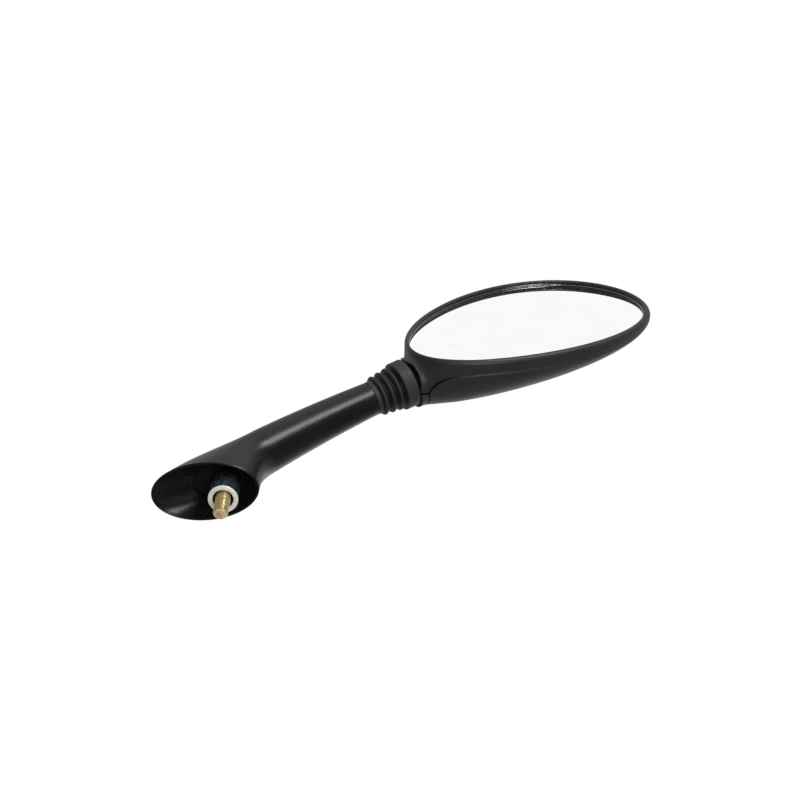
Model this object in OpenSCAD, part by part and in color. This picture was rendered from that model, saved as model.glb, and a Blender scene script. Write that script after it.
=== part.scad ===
// Handlebar mirror on a moulded arm. The origin is the centre of the foot sleeve's end face,
// the mounting stud points down along -Z and the mirror glass looks along -Y.

/* [Mounting stud] */
// Diameter of the threaded stud
stud_d = 8; // [6:1:10]
// Length of the stud that stands out of the sleeve
stud_out = 16; // [10:1:30]
// Length of the stud that is screwed into the sleeve
stud_in = 18; // [15:1:19]
// Chamfer at the stud's tip
stud_chamfer = 1; // [0.4:0.2:2]
// Depth of the thread, by which the stud is thinner inside the sleeve
thread_depth = 0.4; // [0.2:0.05:0.8]
// Length of the thinner part that is seen in the recess
relief_len = 1; // [0.5:0.25:2]

/* [Foot sleeve] */
// Outer diameter of the turned sleeve
sleeve_d = 16.2; // [15:0.1:17]
// Diameter of the recess round the stud
recess_d = 11.1; // [10.4:0.1:12.4]
// Depth of that recess
recess_depth = 7; // [3:0.5:12]

/* [Skirt] */
// Length of the oval skirt
skirt_len = 58.8; // [54:0.5:66]
// Width of the oval skirt
skirt_wid = 35.2; // [32:0.2:40]
// Distance of the oval's centre behind the stud
skirt_back = 10.6; // [9:0.2:13]
// Turn of the oval against the arm
skirt_turn = 8; // [0:1:12]
// Shift of the oval's centre towards the glass side
skirt_side = 1.4; // [0:0.1:2]
// Wall of the skirt at its rim
skirt_wall = 1.8; // [1.6:0.1:2.8]
// Height of the rim above the sleeve's end face
rim_z = 11; // [9:0.5:12]
// Height of the floor inside the skirt
floor_z = 25; // [23:0.5:26]
// Length of the floor
floor_len = 28; // [25:0.5:30]
// Width of the floor
floor_wid = 20.4; // [19.5:0.1:22]
// Distance of the floor's centre behind the stud
floor_back = 4.5; // [3.5:0.25:5.5]
// Diameter of the moulded collar round the sleeve
boss_d = 18.4; // [18:0.2:19.2]
// Height of that collar
boss_h = 2.5; // [1:0.25:4]

/* [Arm] */
// Angle by which the arm leans towards the glass side
arm_yaw = 14; // [0:1:20]
// Slope of the arm's centre line at the skirt
foot_slope = 62; // [58:1:66]
// Slope where the elbow ends
mid_slope = 37; // [35:1:40]
// Slope of the arm's end and of the neck
neck_slope = 28; // [26:1:31]
// Radius of the elbow
elbow_r = 110; // [100:1:125]
// Radius of the long upper bow
bow_r = 453; // [400:1:520]
// Diameter of the arm above the elbow
arm_d_low = 25; // [22:0.5:27]
// Diameter of the arm at its upper end
arm_d_end = 18.8; // [18.4:0.1:20]
// Diameter of the steel core rod
rod_d = 10; // [8.5:0.5:12]
// Radius of the rod's single bend
rod_bend_r = 340; // [320:5:400]

/* [Ball joint] */
// Distance of the ball's centre from the arm's end
ball_reach = 19; // [18:0.5:21]
// Diameter of the ball
ball_d = 13; // [12:0.2:13.4]
// Diameter of the ball's shank
shank_d = 7; // [5.5:0.5:7]
// Thickness of the plastic cups round the ball
cup_wall = 1.5; // [1.2:0.1:1.6]
// Running clearance between ball, cups and socket
ball_fit = 0.1; // [0.05:0.01:0.15]
// Wall of the socket tube
socket_wall = 1.2; // [1:0.1:1.4]

/* [Bellows] */
// Number of round ribs
ribs = 4; // [4:1:4]
// Distance from one rib to the next
rib_pitch = 4.5; // [4.3:0.1:4.6]
// Width of the flat band at the head
band_w = 4.4; // [3.5:0.1:5]
// Diameter of that band
band_d = 28.2; // [27.6:0.2:30]
// Wall of the rubber
rubber = 1.1; // [0.9:0.05:1.2]

/* [Head] */
// Diameter of the neck
neck_d = 27; // [26:0.2:27.4]
// Long half axis of the glass opening
open_a = 79.4; // [72:0.5:86]
// Short half axis of the glass opening
open_b = 49.6; // [44:0.5:56]
// How much fuller the outer end of the opening is
open_egg = 0.16; // [0.05:0.01:0.2]
// Bow of the opening's long axis
open_bow = 4.3; // [0:0.1:6]
// Slope of the opening's long axis
head_slope = 34.6; // [32:0.2:37]
// Width of the rim round the opening
rim_w = 3.5; // [3:0.1:5]
// Width of the rim at the neck
rim_w_neck = 2.1; // [1.8:0.1:3]
// Outer rounding of the rim
rim_round = 2.8; // [2.4:0.1:3.4]
// How much deeper the neck is at its back than a circle
neck_belly = 2.8; // [0:0.1:3.5]
// Depth of the head at the neck end
depth_root = 34; // [31:0.5:37]
// Depth of the head at its tip
depth_tip = 8; // [6:0.5:11]
// Distance of the rim's front in front of the neck's centre
rim_front = 18.1; // [17:0.1:19.5]
// Wall of the head's shells
wall = 2.2; // [1.8:0.1:2.4]
// Distance of the side seam behind the rim
seam_depth = 8; // [7:0.5:12]
// The same at the tip
seam_tip = 5; // [4.6:0.1:5.2]

/* [Glass] */
// Thickness of the mirror glass
glass_t = 2.2; // [1.8:0.1:3]
// Height of the bead round the glass
bead_h = 1.5; // [1:0.1:2]
// Thickness of the adhesive pad
pad_t = 0.8; // [0.5:0.1:1.2]
// Thickness of the glass holder
holder_t = 1.6; // [1.2:0.1:2]

/* [Hidden] */
$fn = 64;

black = [0.06, 0.065, 0.065];
charcoal = [0.1, 0.105, 0.105];
steel = [0.55, 0.56, 0.58];
gold = [0.75, 0.62, 0.25];
nylon = [0.85, 0.84, 0.8];

function mix(a, b, t) = a + (b - a) * t;
function ease(t) = let (x = max(0, min(1, t))) x * x * (3 - 2 * x);
function unit(v) = v / norm(v);
function flat(rows) = [for (row = rows, p = row) p];
function bezier(p, t) = p[0] * pow(1 - t, 3) + 3 * p[1] * t * pow(1 - t, 2)
    + 3 * p[2] * t * t * (1 - t) + p[3] * pow(t, 3);

// The arm's centre line lies in one upright plane, as two arcs. A slope that falls from a0 to a1
// on radius r moves a point by this much.
function arc_step(r, a0, a1) = r * [sin(a0) - sin(a1), cos(a1) - cos(a0)];
line_foot = [-skirt_back, rim_z];
elbow_end = line_foot + arc_step(elbow_r, foot_slope, mid_slope);
arm_end = elbow_end + arc_step(bow_r, mid_slope, neck_slope);
function up_from(slope) = [-sin(slope), cos(slope)];

// Directions in the part's frame: along the neck, to its back, and the places on it.
neck_dir = [cos(neck_slope) * cos(arm_yaw), -cos(neck_slope) * sin(arm_yaw), sin(neck_slope)];
neck_back = [sin(arm_yaw), cos(arm_yaw), 0];
arm_end_3d = [arm_end.x * cos(arm_yaw), -arm_end.x * sin(arm_yaw), arm_end.y];
module in_arm_plane() { rotate([0, 0, -arm_yaw]) children(); }
// Places its children with +Z along the neck and the origin in the ball's centre.
module at_ball() {
    translate(arm_end_3d + neck_dir * ball_reach)
        rotate([0, 0, -arm_yaw]) rotate([0, 90 - neck_slope, 0]) children();
}

// A closed skin through rings of points, with both ends capped.
module loft(rings) {
    n = len(rings[0]);
    last = len(rings) - 1;
    sides = [for (r = [0 : last - 1], i = [0 : n - 1], half = [0, 1])
        let (j = (i + 1) % n)
        half == 0 ? [r * n + i, r * n + j, (r + 1) * n + j]
            : [r * n + i, (r + 1) * n + j, (r + 1) * n + i]];
    polyhedron(points = flat(rings), faces = concat(
        [[for (i = [n - 1 : -1 : 0]) i]], sides, [[for (i = [0 : n - 1]) last * n + i]]));
}

// A wall between an outer and an inner grid of points. Both grids close on themselves at the
// last row, where point i meets point n - 1 - i.
module sheet(outer, inner) {
    rows = len(outer);
    n = len(outer[0]);
    function id(layer, r, i) = (layer * rows + r) * n + (r == rows - 1 ? min(i, n - 1 - i) : i);
    skins = [for (r = [0 : rows - 2], i = [0 : n - 2], layer = [0, 1], half = [0, 1])
        let (a = id(layer, r, i), b = id(layer, r, i + 1), c = id(layer, r + 1, i + 1), d = id(layer, r + 1, i))
        half == 0 ? (layer == 0 ? [a, b, c] : [c, b, a]) : (layer == 0 ? [a, c, d] : [d, c, a])];
    mouth = [for (i = [0 : n - 2], half = [0, 1])
        let (a = id(0, 0, i), b = id(0, 0, i + 1), c = id(1, 0, i + 1), d = id(1, 0, i))
        half == 0 ? [b, a, d] : [b, d, c]];
    seams = [for (r = [0 : rows - 2], right = [0, 1], half = [0, 1])
        let (i = right * (n - 1),
            a = id(0, r, i), b = id(0, r + 1, i), c = id(1, r + 1, i), d = id(1, r, i))
        right == 0 ? (half == 0 ? [a, b, c] : [a, c, d]) : (half == 0 ? [c, b, a] : [d, c, a])];
    polyhedron(points = concat(flat(outer), flat(inner)),
        faces = [for (f = concat(skins, mouth, seams)) if (f[0] != f[1] && f[1] != f[2] && f[2] != f[0]) f]);
}

/* Mounting stud and sleeve */
rod_start_slope = asin(arm_end.x / rod_bend_r + sin(neck_slope));
rod_start_z = arm_end.y + rod_bend_r * (cos(rod_start_slope) - cos(neck_slope));
stud_core_d = stud_d - 2 * thread_depth;

module mounting_stud() {
    color(gold) translate([0, 0, -stud_out]) {
        translate([0, 0, stud_chamfer])
            cylinder(d = stud_d, h = stud_out + recess_depth - relief_len - stud_chamfer);
        translate([0, 0, stud_chamfer]) cylinder(d = stud_core_d, h = stud_out + stud_in - stud_chamfer);
        cylinder(d1 = stud_d - 2 * stud_chamfer, d2 = stud_d, h = stud_chamfer);
    }
}

// The sleeve's top is cut square to the rod that is welded on to it.
module sleeve_blank() {
    difference() {
        cylinder(d = sleeve_d, h = rod_start_z + sleeve_d);
        in_arm_plane() translate([0, 0, rod_start_z]) rotate([0, 90 - rod_start_slope, 0])
            translate([-2 * sleeve_d, -2 * sleeve_d, 0]) cube(4 * sleeve_d);
    }
}

module foot_sleeve() {
    color(steel) difference() {
        sleeve_blank();
        translate([0, 0, -1]) cylinder(d = recess_d, h = recess_depth + 1);
        cylinder(d = stud_core_d, h = stud_in);
    }
}

module rod_blank(more = 0) {
    in_arm_plane() translate([arm_end.x, 0, arm_end.y] + rod_bend_r * [sin(neck_slope), 0, -cos(neck_slope)])
        rotate([90, 0, 0]) rotate([0, 0, 90 + neck_slope])
            rotate_extrude(angle = rod_start_slope - neck_slope + more, $fn = 160)
                translate([rod_bend_r, 0]) circle(d = rod_d, $fn = 48);
}

/* Ball joint, measured along the neck from the ball's centre */
ball_r = ball_d / 2;
cup_in = ball_r + ball_fit;
cup_out = cup_in + cup_wall;
socket_in = cup_out + ball_fit;
socket_out = socket_in + socket_wall;
cup_gap = 1.15;
lower_cup_low = -4.2;
upper_cup_top = 7.2;
socket_low = -5.2;
socket_top = 13.5;
spring_t = 0.8;
spring_rise = 0.6;
spring_low = upper_cup_top + ball_fit;
ring_t = 1.2;
ring_low = spring_low + 2 * (spring_t + spring_rise);
ring_groove = 0.6;
rod_gap = 2;
spigot_d = 16.4;
spigot_h = 3.2;
bush_d = 12;
stud_tail = 14;
thread_d = 6;

module core_rod() {
    color(steel) difference() {
        rod_blank();
        at_ball() translate([0, 0, -ball_reach - rod_gap]) cylinder(d = 2 * rod_d, h = 2 * rod_gap);
        at_ball() translate([0, 0, -ball_reach - stud_tail]) cylinder(d = thread_d, h = stud_tail + 1);
    }
}

module end_bush() {
    color(nylon) at_ball() translate([0, 0, -ball_reach - rod_gap]) difference() {
        cylinder(d = bush_d, h = rod_gap + spigot_h);
        translate([0, 0, -1]) cylinder(d = shank_d, h = rod_gap + spigot_h + 2);
    }
}

module ball_stud() {
    color(steel) at_ball() {
        sphere(r = ball_r);
        translate([0, 0, -ball_reach - rod_gap]) cylinder(d = shank_d, h = ball_reach + rod_gap);
        translate([0, 0, -ball_reach - stud_tail]) cylinder(d = thread_d, h = stud_tail);
    }
}

module cup_zone(low, high) {
    intersection() {
        difference() {
            sphere(r = cup_out);
            sphere(r = cup_in);
        }
        translate([0, 0, low]) cylinder(r = 2 * cup_out, h = high - low);
    }
}

module lower_cup() { color(nylon) at_ball() cup_zone(lower_cup_low, -cup_gap); }
module upper_cup() { color(nylon) at_ball() cup_zone(cup_gap, upper_cup_top); }

module disc_springs() {
    washer = [[shank_d / 2, 0], [socket_in - 0.2, spring_rise], [socket_in - 0.2, spring_rise + spring_t],
        [shank_d / 2, spring_t]];
    color(steel) at_ball() for (i = [0, 1])
        translate([0, 0, spring_low + i * (2 * spring_rise + 2 * spring_t)]) mirror([0, 0, i])
            rotate_extrude() polygon(washer);
}

module socket_ring() {
    color(steel) at_ball() translate([0, 0, ring_low]) difference() {
        cylinder(r = socket_in + ring_groove, h = ring_t);
        translate([0, 0, -1]) cylinder(r = socket_in - 1.6, h = ring_t + 2);
    }
}

/* Arm: two rails in its upright plane, with an oval between them at every station */
arm_sides = 40;
function oval(a, b, half_wid, turn, shift = 0) = let (mid = (a + b) / 2, r = (b - a) / 2)
    [for (i = [0 : arm_sides - 1]) let (t = 360 * i / arm_sides,
        x = r.x * cos(t), y = half_wid * sin(t))
        [mid.x + x * cos(turn) - y * sin(turn), y * cos(turn) + x * sin(turn) - shift, mid.y + r.y * cos(t)]];
rim_a = [-skirt_back - skirt_len / 2, rim_z];
rim_b = [-skirt_back + skirt_len / 2, rim_z];
elbow_a = elbow_end + up_from(mid_slope) * arm_d_low / 2;
elbow_b = elbow_end - up_from(mid_slope) * arm_d_low / 2;
rail_a = [rim_a, rim_a + 24 * [cos(58), sin(58)], elbow_a - 22 * [cos(mid_slope), sin(mid_slope)], elbow_a];
rail_b = [rim_b, rim_b + 9 * [cos(86), sin(86)], elbow_b - 9 * [cos(mid_slope), sin(mid_slope)], elbow_b];

function bow_ring(t) = let (slope = mix(neck_slope, mid_slope, t),
    c = elbow_end + arc_step(bow_r, mid_slope, slope), r = mix(arm_d_end, arm_d_low, t) / 2)
    oval(c + up_from(slope) * r, c - up_from(slope) * r, r, 0);
function skirt_ring(t) = oval(bezier(rail_a, 1 - t), bezier(rail_b, 1 - t),
    mix(arm_d_low, skirt_wid, ease(t) * 0.4 + t * t * 0.6) / 2, skirt_turn * t, skirt_side * ease(t));
function cavity_ring(t) = let (len = mix(skirt_len / 2 - skirt_wall, floor_len / 2, t),
    wid = mix(skirt_wid / 2 - skirt_wall, floor_wid / 2, pow(t, 0.8)),
    mid = -mix(skirt_back, floor_back, t), z = mix(rim_z, floor_z, pow(t, 0.85)))
    oval([mid - len, z], [mid + len, z], wid, skirt_turn * (1 - t), skirt_side * (1 - t));

module arm() {
    color(black) difference() {
        union() {
            in_arm_plane() loft(concat([for (i = [0 : 11]) bow_ring(i / 11)],
                [for (i = [1 : 12]) skirt_ring(i / 12)], [for (i = [0 : 6]) cavity_ring(i / 6)]));
            translate([0, 0, floor_z - boss_h]) cylinder(d = boss_d, h = boss_h + 1);
            at_ball() translate([0, 0, -ball_reach - 1]) cylinder(d = spigot_d, h = spigot_h + 1);
        }
        sleeve_blank();
        rod_blank(more = 1);
        at_ball() translate([0, 0, -ball_reach - rod_gap]) cylinder(d = bush_d, h = 2 * spigot_h + rod_gap);
    }
}

/* Bellows, measured along the neck from the arm's end */
bellows_start = 0.4;
rib_first = 4.6;
rib_last = rib_first + (ribs - 1) * rib_pitch;
band_start = rib_last + rib_pitch / 2;
band_end = band_start + band_w;
neck_start = band_end + 0.9;
cuff_r = spigot_d / 2 + 0.05;
rib_r = [11.4, 12.1, 12.8, 13.9];
groove_r = [10, 10.5, 11.1, 11.6];
tuck_r = neck_d / 2 - wall - 0.4;
tuck_len = 2.6;

module bellows() {
    rib_outline = [for (i = [0 : ribs - 1], q = [-0.25, 0, 0.25, 0.5])
        let (groove = groove_r[i], crest = rib_r[i])
        [q == 0.5 ? groove : q == 0 ? crest : crest - 0.45, rib_first + (i + q) * rib_pitch]];
    outside = concat([[10.3, bellows_start], [10.6, rib_first - 0.5 * rib_pitch]], rib_outline,
        [[band_d / 2, band_start + 0.5], [band_d / 2, band_end], [tuck_r, band_end], [tuck_r, band_end + tuck_len]]);
    inside = concat([[tuck_r - rubber, band_end + tuck_len], [tuck_r - rubber, band_start + 0.8]],
        [for (i = [ribs - 1 : -1 : 0]) each [[groove_r[i] - rubber, rib_first + (i + 0.5) * rib_pitch],
            [rib_r[i] - rubber - 0.3, rib_first + i * rib_pitch]]],
        [[cuff_r, spigot_h + 0.3], [cuff_r, bellows_start]]);
    color(black) at_ball() translate([0, 0, -ball_reach]) rotate_extrude() polygon(concat(outside, inside));
}

/* Head: sections along a line that leaves the neck and then follows the glass's long axis */
long_dir = [cos(head_slope), 0, sin(head_slope)];
cross_dir = [-sin(head_slope), 0, cos(head_slope)];
back_dir = [0, 1, 0];
neck_point = arm_end_3d + neck_dir * neck_start;
rim_y = neck_point.y - rim_front;
end_gap = 4;
glass_mid = neck_point + long_dir * (open_a + end_gap) - cross_dir * 1.4;
turn_len = 24;

// Half breadth of the opening's outline, grown by g, at distance a along its long axis.
function egg_r(a, g) = sqrt(max(0, 1 - pow(a / (open_a + g), 2)));
function egg_half(a, g) = (open_b + g) * (1 + open_egg * a / open_a) * egg_r(a, g);
function egg_bow(a, g) = open_bow * pow(egg_r(a, g), 2);
function egg_place(t, g) = let (a = (open_a + g) * cos(t))
    [a, egg_bow(a, g) + (sin(t) < 0 ? -1 : 1) * egg_half(a, g)];
function egg_outline(g, n = 72) = [for (i = [0 : n - 1]) egg_place(360 * i / n, g)];
function egg_point(t, g, y) = let (p = egg_place(t, g))
    [glass_mid.x, y, glass_mid.z] + p.x * long_dir + p.y * cross_dir;

line_join = [glass_mid.x, 0, glass_mid.z] + long_dir * (turn_len - open_a - end_gap) + back_dir * (rim_y + 14);
function line_at(s) = s < turn_len
    ? let (t = s / turn_len, m = neck_point + neck_dir * turn_len * 0.45)
        neck_point * pow(1 - t, 2) + m * 2 * t * (1 - t) + line_join * t * t
    : [glass_mid.x, rim_y + mix(14, 4, (s - turn_len) / (2 * open_a + end_gap - turn_len)), glass_mid.z]
        + long_dir * (s - open_a - end_gap);
full_len = 2 * open_a + end_gap + rim_w;
clip_len = 4.4;
function back_y(s) = rim_y + mix(depth_root, depth_tip, pow(s / full_len, 1.9));
function seam_y(s) = rim_y + mix(seam_depth, seam_tip, pow(s / full_len, 3))
    + (rim_front + 4.5 - seam_depth) * pow(1 - max(0, min(1, (s - clip_len) / 36)), 4);
function rim_at(s) = mix(rim_w_neck, rim_w, ease(s / 40));
// Half breadths of the outline, up and down, and of the body, which starts as the round neck.
function breadths(s, inset) = let (a = s - open_a - end_gap, g = rim_at(s) - inset)
    [egg_half(a, g) + egg_bow(a, g), egg_half(a, g) - egg_bow(a, g)];
function grown(w0, w1, w2, t) = w0 * (1 - t) * (1 - t) * (1 + 2 * t) + w1 * t * t * (3 - 2 * t)
    + (w2 - w1) * turn_len * (t - 1) * t * t;
function body(s, inset) = s >= turn_len ? breadths(s, inset)
    : let (w1 = breadths(turn_len, inset), w2 = breadths(turn_len + 1, inset), t = s / turn_len)
        [for (i = [0, 1]) grown(neck_d / 2 - inset, w1[i], w2[i], t)];

// One section: centre, side and back directions, half breadths up and down, shoulder, back, power
// of the back curve and seam. Shoulder, back and seam are measured along the back direction.
function section(s, inset) = let (
    turned = ease(s / turn_len),
    c = line_at(s),
    dir = unit(mix(neck_dir, long_dir, turned)),
    back_raw = mix(neck_back, back_dir, turned),
    back = unit(back_raw - dir * (back_raw * dir)),
    w = body(s, inset))
    [c, cross(dir, back), back, w[0], w[1], mix(0, (rim_y + rim_round - c.y) / back.y, turned),
        mix(neck_d / 2 - inset + neck_belly, (back_y(s) - inset - c.y) / back.y, ease(s / 12)),
        mix(2, 2.4, turned), (seam_y(s) - c.y) / back.y];

function spot(k, p, q) = k[0] + k[1] * p + k[2] * q;
// Angle at which the seam, moved by d, meets the back curve of a section.
function seam_angle(k, d = 0) = asin(pow(max(0.001, min(1, (k[8] + d - k[5]) / (k[6] - k[5]))), k[7] / 2));
function back_spot(k, w, t) = spot(k, w * pow(cos(t), 2 / k[7]), k[5] + (k[6] - k[5]) * pow(sin(t), 2 / k[7]));
function back_half(k, w) = [for (i = [0 : 7]) back_spot(k, w, mix(seam_angle(k), 90, i / 8))];
function reversed(list) = [for (i = [len(list) - 1 : -1 : 0]) list[i]];
function back_row(k) = concat(back_half(k, k[3]), [spot(k, 0, k[6])], reversed(back_half(k, -k[4])));

neck_stations = [0, 1.5, 3, 4.5, 6, 7.5, 9, 10.5, 12, 13.5, 15.5, 18, 21, turn_len];
function stations(inset) = let (tip = full_len - inset)
    concat(neck_stations, [for (i = [1 : 17]) mix(turn_len, tip, sin(90 * i / 17))]);
function sections(inset) = [for (s = stations(inset)) section(s, inset)];

// The front shell is a closed band round the opening. Its profile stands at an angle u from the
// neck's middle, and its lower edge runs along the neck's mouth up to neck_turn, then along the seam.
neck_turn = 25;
seam_gap = 0.12;
mouth = section(0, 0);
mouth_angle = 90 + seam_angle(mouth, -seam_gap);
function rim_round_at(u) = mix(rim_w_neck, rim_w, ease(u / 58));
function along_at(u, g) = end_gap + open_a - (open_a + g) * cos(u);
// A low edge's station: zero at the neck's corner, level with the rim from about 30 mm on.
function low_at(s, s0) = s - s0 * (1 - ease((s - s0) / 20));
function low_edge(u, sign, inset) = let (g = rim_round_at(u) - inset * mix(0.55, 1, ease(u / 58)),
    r = neck_d / 2 - inset, f = mouth_angle * u / neck_turn, bend = ease((u - 8) / 34))
    u < neck_turn
    ? [spot(mouth, sign * r * sin(f), f < 90 ? -r * cos(f) : (r + neck_belly) * sin(f - 90)),
        unit(mix(-neck_dir, spot(mouth, sign * cos(f), sin(f)) - mouth[0], bend))]
    : let (k = section(low_at(along_at(u, g), along_at(neck_turn, g)), inset), w = sign > 0 ? k[3] : -k[4],
        t = seam_angle(k, -seam_gap), p = back_spot(k, w, t), q = back_spot(k, w, t + 0.5))
        [p, unit(mix(-neck_dir, unit(q - p), bend))];
function hermite(p, p_dir, q, q_dir, t) = let (reach = norm(q - p))
    p * (1 - t) * (1 - t) * (1 + 2 * t) + q * t * t * (3 - 2 * t)
    + p_dir * reach * t * (1 - t) * (1 - t) + q_dir * reach * t * t * (t - 1);
function band_profile(u, sign) = let (
    turn = 180 - sign * u,
    full = rim_round_at(u),
    edge = min(rim_round, 0.75 * full),
    g_in = full - wall * mix(0.55, 1, ease(u / 58)),
    top = egg_point(turn, full, rim_y + rim_round),
    under = egg_point(turn, g_in, rim_y + wall),
    low = low_edge(u, sign, 0),
    low_in = low_edge(u, sign, wall))
    concat([egg_point(turn, 0, rim_y + wall), egg_point(turn, 0, rim_y)],
        [for (i = [0 : 4]) egg_point(turn, full - edge + edge * sin(22.5 * i),
            rim_y + rim_round * (1 - cos(22.5 * i)))],
        [for (i = [1 : 6]) hermite(top, back_dir, low[0], low[1], i / 6)],
        [for (i = [5 : -1 : 0]) hermite(under, back_dir, low_in[0], low_in[1], i / 5)]);
band_turns = concat([for (i = [0 : 10]) neck_turn * i / 10], [for (i = [1 : 6]) neck_turn + 2.5 * i],
    [for (i = [9 : 36]) 5 * i]);

// A closed ring of closed profiles.
module ring_loft(rows) {
    n = len(rows[0]);
    polyhedron(points = flat(rows), faces = [for (r = [0 : len(rows) - 1], i = [0 : n - 1], half = [0, 1])
        let (j = (i + 1) % n, next = (r + 1) % len(rows))
        half == 0 ? [r * n + i, r * n + j, next * n + j] : [r * n + i, next * n + j, next * n + i]]);
}

module opening_prism(g, y0, y1) {
    translate([glass_mid.x, y1, glass_mid.z]) rotate([90, 0, 0]) rotate([0, 0, head_slope])
        linear_extrude(height = y1 - y0) polygon(egg_outline(g));
}

module head_front() {
    last = len(band_turns) - 1;
    color(charcoal) difference() {
        ring_loft(concat([for (u = band_turns) band_profile(u, 1)],
            [for (i = [last - 1 : -1 : 1]) band_profile(band_turns[i], -1)]));
        glass_room();
    }
}
// Room for the glass's edge in the walls of both shells.
module glass_room() { opening_prism(glass_fit + 0.1, rim_y + wall, rim_y + wall + bead_h + glass_t + 0.3); }

clip_gap = 0.7;
post_d = 7;
rest_places = [[60, 22], [60, -22], [112, 26], [112, -22], [140, 4]];
rest_d = 5;
// Middle of the back cover's wall behind a place, measured along and across the long axis.
function cover_y(place) = let (k = section(place.x, wall / 2), b = place.y + 1.4,
    w = b > 0 ? k[3] : k[4])
    k[0].y + k[5] + (k[6] - k[5]) * pow(1 - pow(abs(b) / w, k[7]), 1 / k[7]);
module post(place, y0, d) {
    translate(on_plate(place) + [0, y0, 0]) rotate([-90, 0, 0]) cylinder(d = d, h = cover_y(place) - y0);
}
module back_sheet() {
    sheet([for (k = sections(0)) back_row(k)], [for (k = sections(wall)) back_row(k)]);
}
module neck_zone(len) {
    at_ball() translate([0, 0, neck_start - ball_reach - 5]) cylinder(r = neck_d, h = len + 5);
}
module head_back() {
    color(charcoal) difference() {
        union() {
            back_sheet();
            for (place = screw_places) post(place, plate_y + plate_t, post_d);
            for (place = rest_places) post(place, holder_y + holder_t, rest_d);
        }
        neck_zone(clip_len + clip_gap);
        glass_room();
        for (place = screw_places) translate(on_plate(place) + [0, plate_y, 0]) rotate([-90, 0, 0])
            cylinder(d = screw_d - 0.2, h = screw_len);
    }
}

module neck_clip() {
    color(charcoal) intersection() {
        back_sheet();
        neck_zone(clip_len);
    }
}

glass_fit = 0.45;
bead_y = rim_y + wall + 0.1;
glass_y = bead_y + bead_h;
pad_y = glass_y + glass_t;
holder_y = pad_y + pad_t;
notch_r = socket_out + 1;
module neck_notch() { at_ball() translate([0, 0, -2 * notch_r]) cylinder(r = notch_r, h = 5 * notch_r); }

module glass_bead() {
    color("black") difference() {
        opening_prism(glass_fit, bead_y, glass_y);
        opening_prism(-0.6, bead_y - 1, glass_y + 1);
    }
}
module glass() { color("white") opening_prism(glass_fit, glass_y, pad_y); }
module glass_pad() {
    color("gray") difference() {
        opening_prism(-8, pad_y, holder_y);
        neck_notch();
    }
}
module glass_holder() {
    color(black) difference() {
        opening_prism(-8, holder_y, holder_y + holder_t);
        neck_notch();
    }
}

/* Socket casting on three posts of the back cover */
plate_t = 2.4;
plate_y = neck_point.y + 4;
screw_places = [[27, 14], [27, -14], [46, 0]];
screw_d = 3.4;
screw_head_d = 6.6;
screw_head_h = 2;
screw_len = 8;
function on_plate(place) = [neck_point.x, 0, neck_point.z] + long_dir * place.x + cross_dir * place.y;

module socket_plate() {
    translate([neck_point.x, plate_y + plate_t, neck_point.z]) rotate([90, 0, 0]) rotate([0, 0, head_slope])
        linear_extrude(height = plate_t) hull() {
            for (place = screw_places) translate(place) circle(d = 9, $fn = 32);
            for (side = [-1, 1]) translate([6, 3.5 * side]) circle(d = 6, $fn = 32);
        }
}
module socket_body() {
    color(steel) difference() {
        union() {
            at_ball() translate([0, 0, socket_low]) cylinder(r = socket_out, h = socket_top - socket_low);
            socket_plate();
        }
        at_ball() {
            sphere(r = socket_in);
            cylinder(r = socket_in, h = socket_top + 0.1);
            translate([0, 0, ring_low]) cylinder(r = socket_in + ring_groove, h = ring_t);
        }
        for (place = screw_places) translate(on_plate(place) + [0, plate_y - 1, 0])
            rotate([-90, 0, 0]) cylinder(d = screw_d, h = plate_t + 2);
    }
}
module socket_screws() {
    color(steel) for (place = screw_places) translate(on_plate(place) + [0, plate_y, 0]) rotate([-90, 0, 0]) {
        cylinder(d = screw_d - 0.2, h = screw_len);
        translate([0, 0, -screw_head_h]) cylinder(d = screw_head_d, h = screw_head_h);
    }
}

arm();
core_rod();
foot_sleeve();
mounting_stud();
end_bush();
ball_stud();
lower_cup();
upper_cup();
socket_body();
disc_springs();
socket_ring();
bellows();
head_front();
head_back();
neck_clip();
glass();
glass_bead();
glass_pad();
glass_holder();
socket_screws();
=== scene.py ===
import bpy
import bmesh
import math
import numpy as np
from mathutils import Matrix, Vector


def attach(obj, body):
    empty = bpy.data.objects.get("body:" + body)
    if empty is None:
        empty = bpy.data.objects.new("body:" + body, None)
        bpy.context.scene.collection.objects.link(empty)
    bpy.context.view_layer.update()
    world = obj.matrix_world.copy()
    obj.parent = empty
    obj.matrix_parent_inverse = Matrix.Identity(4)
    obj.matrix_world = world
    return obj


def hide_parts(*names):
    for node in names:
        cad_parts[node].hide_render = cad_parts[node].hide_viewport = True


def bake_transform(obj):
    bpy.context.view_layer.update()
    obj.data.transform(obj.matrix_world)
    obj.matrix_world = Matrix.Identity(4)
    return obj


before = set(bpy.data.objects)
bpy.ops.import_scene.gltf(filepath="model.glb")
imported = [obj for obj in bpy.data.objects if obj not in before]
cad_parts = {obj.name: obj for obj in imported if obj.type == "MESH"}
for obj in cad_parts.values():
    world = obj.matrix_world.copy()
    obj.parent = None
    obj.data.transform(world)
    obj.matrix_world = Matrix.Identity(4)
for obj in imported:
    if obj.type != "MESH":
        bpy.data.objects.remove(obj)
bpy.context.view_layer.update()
print("frame loaded:", len(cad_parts), "nodes")

mm = 0.001


# small sums, in degrees and millimetres

def mix(a, b, t):
    return a + (b - a) * t


def ease(t):
    t = min(max(t, 0.0), 1.0)
    return t * t * (3 - 2 * t)


def sinD(a):
    return math.sin(math.radians(a))


def cosD(a):
    return math.cos(math.radians(a))


def unit(v):
    return v / np.linalg.norm(v)


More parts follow.
